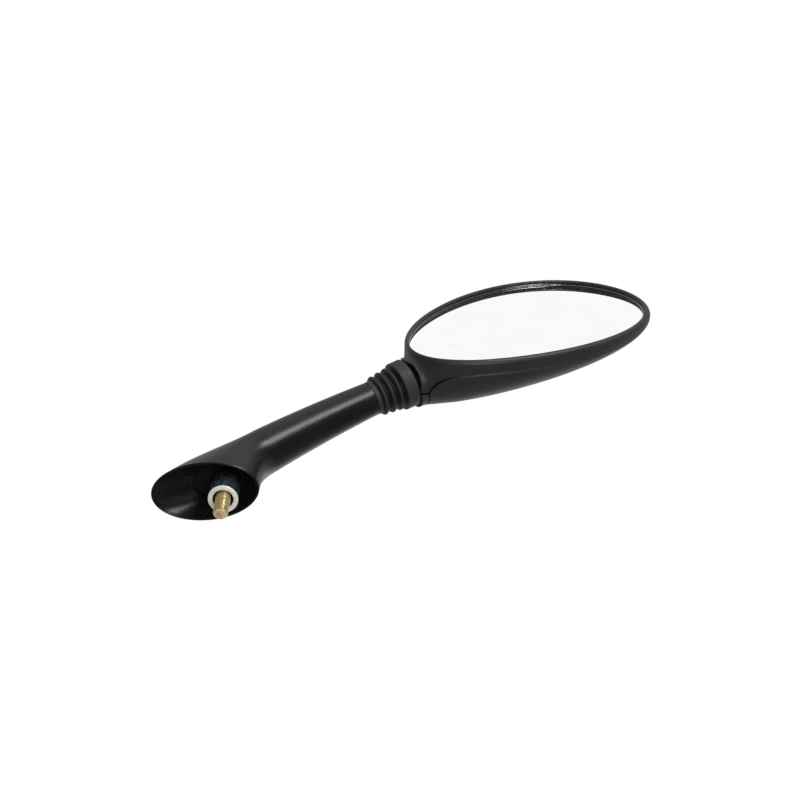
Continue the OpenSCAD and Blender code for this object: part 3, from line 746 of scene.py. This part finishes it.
class Section:
    def __init__(self, s, inset):
        bent = ease(s / hs["turnLen"])
        self.s, self.c = s, lineAt(s)
        ahead = unit(mix(neckDir, longDir, bent))
        raw = mix(neckBack, backDir, bent)
        self.back = unit(raw - ahead * (raw @ ahead))
        self.side = np.cross(ahead, self.back)
        self.up, self.down = body(s, inset)
        self.shoulder = mix(0, (rimY + hs["rimRound"] - self.c[1]) / self.back[1], bent)
        self.behind = mix(hs["neckD"] / 2 - inset + hs["belly"], (backY(s) - inset - self.c[1]) / self.back[1],
                          ease(s / hs["backGrow"]))
        self.power = mix(2, hs["square"], bent)

    def spot(self, x, y):
        return self.c + self.side * x + self.back * y

    def seamAngle(self, offset=0.0):
        y = (seamY(self.s) - self.c[1]) / self.back[1] + offset
        share = min(max((y - self.shoulder) / (self.behind - self.shoulder), 0.001), 1.0)
        return math.degrees(math.asin(share ** (self.power / 2)))

    def backSpot(self, w, t):
        return self.spot(w * max(0.0, cosD(t)) ** (2 / self.power),
                         self.shoulder + (self.behind - self.shoulder) * sinD(t) ** (2 / self.power))


# front shell: closed profiles set round the glass opening, from the neck (turn 0) to the tip (turn 180)

mouthShape = {"turn": 19, "outer": 0.9, "outerLen": 40, "inner": 2.0, "gapeFrom": 5, "gapeLen": 30,
              "less": 0.65, "lessFrom": 55, "lessLen": 45, "gapeEnd": 20, "grow": 1.0, "growLen": 60,
              "pull": 0.55, "pullLen": 14, "slack": 0.5, "slackFrom": 7.6, "slackLen": 11.4, "slackEnd": 48,
              "slackOut": 16, "bendFrom": 6, "bendLen": 23, "catchUp": 12, "lean": 0.3, "leanLen": 26}
bandShape = {"lipStep": 18, "edgeStep": 9, "edgeShare": 0.75, "sideRows": 20, "innerRows": 8,
             "mouthTurns": 30, "bendTurns": 64, "bendEnd": 50}
mouth = Section(0, 0)
mouthAngle = 90 + mouth.seamAngle(-seamGap(0) / 2)


def rimAt(u):
    return mix(hs["rimNeck"], hs["rimW"], ease(u / hs["rimTurn"]))


def alongAt(u, g):
    return hs["endGap"] + hs["a"] - (hs["a"] + g) * cosD(u)


def insetRim(u, inset):
    return rimAt(u) - inset * mix(hs["wallNeck"], 1, ease(u / hs["rimTurn"]))


def mouthEdge(f, sign, inset):  # the shell's lower edge round the neck's mouth, f degrees from the front
    m, r = mouthShape, hs["neckD"] / 2 - inset
    y = -r * cosD(f) if f < 90 else (r + hs["belly"]) * sinD(f - 90)
    gape = ease((f - m["gapeFrom"]) / m["gapeLen"]) * (1 - m["less"] * ease((f - m["lessFrom"]) / m["lessLen"]))
    reach = m["inner"] * (gape * ease((mouthAngle - f) / m["gapeEnd"])) - m["outer"] * (1 - ease(f / m["outerLen"]))
    swell = m["grow"] * (1 - ease(f / m["growLen"]))
    across = unit(mouth.spot(sign * cosD(f), sinD(f)) - mouth.c)
    return mouth.spot(sign * (r + swell) * sinD(f), y - swell * cosD(f)) + neckDir * reach, across


def seamEdge(u, sign, inset):  # and on along the seam
    g = insetRim(u, inset)
    s, s0 = alongAt(u, g), alongAt(mouthShape["turn"], g)
    k = Section(s - s0 * (1 - ease((s - s0) / mouthShape["catchUp"])), inset)
    w = k.up if sign > 0 else -k.down
    t = k.seamAngle(-seamGap(k.s) / 2)
    p, q = k.backSpot(w, t), k.backSpot(w, t + 0.5)
    return p, unit(q - p)


def lowEdge(u, sign, inset):
    m = mouthShape
    pull = (mix(m["pull"], 1, ease(u / m["pullLen"]))
            - m["slack"] * ease((u - m["slackFrom"]) / m["slackLen"]) * ease((m["slackEnd"] - u) / m["slackOut"]))
    inMouth = u < m["turn"]
    spot, across = mouthEdge(mouthAngle * u / m["turn"], sign, inset) if inMouth else seamEdge(u, sign, inset)
    return spot, pull * unit(mix(-neckDir, across, ease((u - m["bendFrom"]) / m["bendLen"])))


def hermite(p, pDir, q, qDir, t):
    reach = np.linalg.norm(q - p)
    return (p * (1 - t) ** 2 * (1 + 2 * t) + q * t * t * (3 - 2 * t) + pDir * reach * t * (1 - t) ** 2
            + qDir * reach * t * t * (t - 1))


def bandProfile(u, sign):
    b, turn, full, lip = bandShape, 180 - sign * u, rimAt(u), hs["lip"]
    edge = min(hs["rimRound"], b["edgeShare"] * full)
    top = eggPoint(turn, full, rimY + hs["rimRound"])
    under = eggPoint(turn, insetRim(u, hs["wall"]), rimY + hs["wall"])
    (low, lowPull), (lowIn, inPull) = lowEdge(u, sign, 0), lowEdge(u, sign, hs["wall"])
    row = [eggPoint(turn, 0.0, rimY + hs["rimDeep"])]
    row += [eggPoint(turn, lip * (1 - cosD(a)), rimY + lip * (1 - sinD(a))) for a in range(0, 91, b["lipStep"])]
    row += [eggPoint(turn, full - edge + edge * sinD(a), rimY + hs["rimRound"] * (1 - cosD(a)))
            for a in range(0, 91, b["edgeStep"])]
    lean = backDir * mix(mouthShape["lean"], 1, ease(u / mouthShape["leanLen"]))
    row += [hermite(top, lean, low, lowPull, i / b["sideRows"]) for i in range(1, b["sideRows"] + 1)]
    fold = unit(lowIn - low) * seamShape["fold"]
    row += [low + fold * 0.3 + lowPull * 0.12, low + fold + lowPull * 0.02]
    row += [hermite(under, lean, lowIn, inPull, i / b["innerRows"]) for i in range(b["innerRows"], -1, -1)]
    return row


def bandTurns():
    b, first = bandShape, mouthShape["turn"]
    near = [first * i / b["mouthTurns"] for i in range(b["mouthTurns"] + 1)]
    middle = [mix(first, b["bendEnd"], i / b["bendTurns"]) for i in range(1, b["bendTurns"] + 1)]
    return near + middle + [b["bendEnd"] + 1.0 * i for i in range(1, 180 - b["bendEnd"] + 1)]


def ringOfRings(name, rows, second):
    n, count = len(rows[0]), len(rows)
    points = [p for row in rows for p in row]
    faces = [(r * n + i, r * n + (i + 1) % n, (r + 1) % count * n + (i + 1) % n, (r + 1) % count * n + i)
             for r in range(count) for i in range(n)]
    return newObject(name, points, faces, second=[r * n + i for r, i in second])


turns = bandTurns()
rowTurns = [(u, 1) for u in turns] + [(u, -1) for u in turns[-2:0:-1]]
foldFaces = range(37, 40)  # from the side's last point to the inner side's first
# the fold faces near the neck take the painted seam shade
shadedFaces = [(r, i) for r, (u, sign) in enumerate(rowTurns) if u < seamShape["shadeTurn"] for i in foldFaces]
headFront = ringOfRings("headFront", [bandProfile(u, sign) for u, sign in rowTurns], shadedFaces)
dress(headFront, headPlastic, seamShade)
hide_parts("head_front")
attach(headFront, "head_body")
print("front shell made")


# back shell and neck clip: sheets of rows across the head, each row from seam to seam over the back

backShape = {"half": 30, "join": 30, "rootRows": 50, "tipRows": 70, "tipLeft": 1e-5, "innerLeft": 0.02, "shaded": 17}
clipShape = {"len": seamShape["clipLen"], "gap": 1.0, "proud": 0.2, "play": 0.1, "rows": 12}


def backRow(s, inset, proud=0.0, gap=0.0):
    k = Section(s, inset)
    first = k.seamAngle(seamGap(s) / 2 + gap)
    span = [mix(first, 90, i / backShape["half"]) for i in range(backShape["half"])]
    up = [k.backSpot(k.up + proud, t) for t in span]
    down = [k.backSpot(-k.down - proud, t) for t in span]
    return up + [k.spot(0, k.behind + proud)] + down[::-1]


def sheetObject(name, outer, inner, shaded):
    n, rows = len(outer[0]), len(outer)
    points = [p for row in outer for p in row] + [p for row in inner for p in row]
    shift = rows * n
    faces = wallFaces(rows, n, shift)
    edge = len(faces)
    for r in range(rows - 1):
        for i in (0, n - 1):
            a, b = r * n + i, (r + 1) * n + i
            faces.append((a, b, b + shift, a + shift))
    ends = len(faces)
    for r in (0, rows - 1):
        faces += [(r * n + i, r * n + i + 1, r * n + i + 1 + shift, r * n + i + shift) for i in range(n - 1)]
    # edge faces near the neck, and all edges of a fully shaded sheet, take the painted seam shade
    if shaded >= rows:
        second = list(range(edge, len(faces)))
    else:
        second = list(range(edge, edge + 2 * shaded)) + list(range(ends, ends + n - 1))
    return newObject(name, points, faces, second=second)


stations = [mix(clipShape["len"] + clipShape["gap"], backShape["join"], i / backShape["rootRows"])
            for i in range(backShape["rootRows"])]
stations += [mix(backShape["join"], fullLen - backShape["tipLeft"], sinD(90 * i / backShape["tipRows"]))
             for i in range(backShape["tipRows"] + 1)]
innerStations = [min(s, fullLen - hs["wall"] - backShape["innerLeft"] * (len(stations) - i))
                 for i, s in enumerate(stations)]
headBack = sheetObject("headBack", [backRow(s, 0) for s in stations], [backRow(s, hs["wall"]) for s in innerStations],
                       sum(1 for s in stations if s < backShape["shaded"]))
dress(headBack, headPlastic, seamShade)
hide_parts("head_back")
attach(headBack, "head_body")

clipStations = [mix(0.0, clipShape["len"], i / clipShape["rows"]) for i in range(clipShape["rows"] + 1)]
neckClip = sheetObject("neckClip", [backRow(s, 0, clipShape["proud"], clipShape["play"]) for s in clipStations],
                       [backRow(s, hs["wall"], 0, clipShape["play"]) for s in clipStations], len(clipStations))
dress(neckClip, headPlastic, seamShade)
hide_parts("neck_clip")
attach(neckClip, "head_body")
print("back shell made")


# glass and its bead

glassShape = {"fit": 0.45, "middle": 40, "round": 0.5, "bevel": 0.1, "thick": 3.5, "steps": 220}
beadShape = {"under": 0.1, "high": 1.0, "crest": 0.9, "wide": 0.75, "step": 15}
beadY = rimY + hs["rimDeep"] + beadShape["under"]
glassY = beadY + beadShape["high"]


def eggRing(g, y):
    return [eggPoint(360 * i / glassShape["steps"], g, y) for i in range(glassShape["steps"])]


def glassProfile():
    v = glassShape
    fit, bevel = v["fit"], v["bevel"]
    return [(fit - v["middle"], 0.0), (fit - v["round"], 0.0), (fit - bevel, bevel), (fit, v["round"]),
            (fit, v["thick"]), (fit - v["middle"], v["thick"])]


glassPlate = ringObject("glassPlate", [eggRing(g, glassY + d) for g, d in glassProfile()])
dress(glassPlate, mirror)
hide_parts("glass")
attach(glassPlate, "head_body")

beadCurve = [(-beadShape["wide"] * cosD(a), beadShape["high"] - beadShape["crest"] * sinD(a))
             for a in range(0, 91, beadShape["step"])]
beadCurve += [(glassShape["fit"], 0.1), (glassShape["fit"], beadShape["high"])]
beadRings = [eggRing(g, beadY + d) for g, d in beadCurve]
glassBead = ringObject("glassBead", beadRings + beadRings[:1], caps=False)
dress(glassBead, bead)
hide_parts("glass_bead")
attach(glassBead, "head_body")
print("glass made")


# socket screws: flat heads on shanks, set on three places by instancing

screwShape = {"Head": 0.0033, "HeadHigh": 0.002, "Shank": 0.0016, "Length": 0.008}
screwPlaces = [(27, 14), (27, -14), (46, 0)]  # along and across the glass from the neck
plateY = neckPoint[1] + 4


def pinNode(vertices, segments, radius, depth, lift):
    pin = Socket.node("GeometryNodeMeshCylinder", {"fill_type": "NGON"},
                      {"Vertices": vertices, "Side Segments": segments, "Radius": radius, "Depth": depth})
    return Socket.node("GeometryNodeTransform", inputs={"Geometry": pin, "Translation": (0, 0, lift)})


def screwTree():
    tree, given = Field.start("screwSet", screwShape)
    head = pinNode(40, 2, given["Head"], given["HeadHigh"], screwShape["HeadHigh"] / 2)
    shank = pinNode(32, 8, given["Shank"], given["Length"], -screwShape["Length"] / 2)
    joined = tree.nodes.new("GeometryNodeJoinGeometry")
    for part in (head, shank):
        tree.links.new(part.output, joined.inputs[0])
    facing = Socket.node("FunctionNodeAlignRotationToVector", {"axis": "Z"}, {"Vector": (0.0, -1.0, 0.0)})
    spread = Socket.node("GeometryNodeInstanceOnPoints",
                         inputs={"Points": given["Geometry"], "Instance": Socket(joined.outputs[0]), "Rotation": facing})
    Field.finish(tree, spread, brightSteel)
    return tree


def onPlate(a, b):
    return tuple(((neckPoint + longDir * a + crossDir * b) * np.array([1, 0, 1]) + backDir * plateY) * mm)


screwMesh = bpy.data.meshes.new("screwPoints")
screwMesh.from_pydata([onPlate(a, b) for a, b in screwPlaces], [], [])
screws = grown("screws", linked("screwPoints", screwMesh), screwTree(), screwShape)
screws.data.shade_flat()
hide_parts("socket_screws")
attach(screws, "head_body")
print("screws made")


# floor, world, lamps and camera, in metres

stageShape = {"floor": 3.0, "floorZ": -0.0165, "floorTone": 0.8, "sky": 0.75, "roomDark": 0.045, "roomPale": 0.5,
              "roomAxis": (0.0, 0.4226, 0.9063), "roomFrom": -0.4, "roomTo": 0.95}


def rayKind():
    outputs = Socket.node("ShaderNodeLightPath").output.node.outputs
    return lambda kind: Socket(outputs["Is " + kind + " Ray"])


def floorMaterial():  # unseen from below, and no hindrance to shadow and glossy rays from the lamps there
    material = bpy.data.materials.new("floor")
    material.use_nodes = True
    tree = material.node_tree
    tree.nodes.clear()
    Socket.tree = tree
    pale = Socket.node("ShaderNodeBsdfDiffuse", inputs={"Color": grey(stageShape["floorTone"])})
    clear = Socket.node("ShaderNodeBsdfTransparent")
    backfacing = Socket.node("ShaderNodeNewGeometry", out=6)
    ray = rayKind()
    through = backfacing.larger(ray("Shadow")).larger(ray("Glossy"))
    both = Socket.node("ShaderNodeMixShader", inputs={0: through, 1: pale, 2: clear})
    output = tree.nodes.new("ShaderNodeOutputMaterial")
    tree.links.new(both.output, output.inputs[0])
    return material


floorMesh = bpy.data.meshes.new("floor")
half, level = stageShape["floor"], stageShape["floorZ"]
floorMesh.from_pydata([(-half, -half, level), (half, -half, level), (half, half, level), (-half, half, level)], [],
                      [(0, 1, 2, 3)])
floor = linked("floor", floorMesh)
dress(floor, floorMaterial())

# white for the camera and the mirror, a dark to pale room for glossy plastic, a plain sky for the rest
world = bpy.data.worlds.new("studio")
bpy.context.scene.world = world
world.use_nodes = True
world.node_tree.nodes.clear()
Socket.tree = world.node_tree
ray = rayKind()
towards = Socket.node("ShaderNodeTexCoord", out=0)
facing = vectorMath("DOT_PRODUCT", towards, stageShape["roomAxis"], 1)
seen = facing.between(stageShape["roomFrom"], stageShape["roomTo"])
room = seen * (stageShape["roomPale"] - stageShape["roomDark"]) + stageShape["roomDark"]
clear = ray("Camera").larger(ray("Transmission")).larger(ray("Singular"))
glossy = ray("Glossy")
strength = clear + (1.0 - clear) * (glossy * room + (1.0 - glossy) * stageShape["sky"])
sky = Socket.node("ShaderNodeBackground", inputs={"Color": (1, 1, 1, 1), "Strength": strength})
worldOut = world.node_tree.nodes.new("ShaderNodeOutputWorld")
world.node_tree.links.new(sky.output, worldOut.inputs[0])

lamps = {"keyLamp": {"place": (0.5, -0.9, -0.02), "target": (0.06, 0, 0.05), "size": (0.26, 0.6), "power": 4.2},
         "fillLamp": {"place": (0.32, -0.38, -0.85), "target": (0.0, 0, 0.03), "size": (0.24, 0.24), "power": 2.6},
         "topLamp": {"place": (0.25, -0.95, 0.55), "target": (0.1, 0, 0.08), "size": (1.0, 1.0), "power": 1.4},
         "backLamp": {"place": (0.4, 0.8, 0.7), "target": (0.1, 0, 0.08), "size": (0.7, 0.7), "power": 0.7}}
for name, given in lamps.items():
    lampData = bpy.data.lights.new(name, "AREA")
    lampData.shape = "RECTANGLE"
    lampData.size, lampData.size_y = given["size"]
    lampData.energy = given["power"]
    lamp = linked(name, lampData)
    lamp.location = given["place"]
    lamp.rotation_mode = "QUATERNION"
    lamp.rotation_quaternion = (Vector(given["target"]) - Vector(given["place"])).to_track_quat("-Z", "Y")

cameraShape = {"place": (0.09445, -0.47071, -0.88388), "lift": 65, "focalPixels": 1875.0, "pixels": 800, "sensor": 36}
cameraData = bpy.data.cameras.new("photoCamera")
cameraData.sensor_width = cameraShape["sensor"]
cameraData.lens = cameraShape["focalPixels"] / cameraShape["pixels"] * cameraShape["sensor"]
cameraData.clip_start, cameraData.clip_end = 0.01, 20
photoCamera = linked("photoCamera", cameraData)
photoCamera.location = cameraShape["place"]
forward = Vector((0, cosD(cameraShape["lift"]), sinD(cameraShape["lift"])))
upward = Vector((0, -sinD(cameraShape["lift"]), cosD(cameraShape["lift"])))
sideways = forward.cross(upward)
photoCamera.rotation_mode = "QUATERNION"
photoCamera.rotation_quaternion = Matrix((sideways, upward, -forward)).transposed().to_quaternion()
bpy.context.scene.camera = photoCamera
bpy.context.scene.view_settings.view_transform = "Standard"
print("stage made")
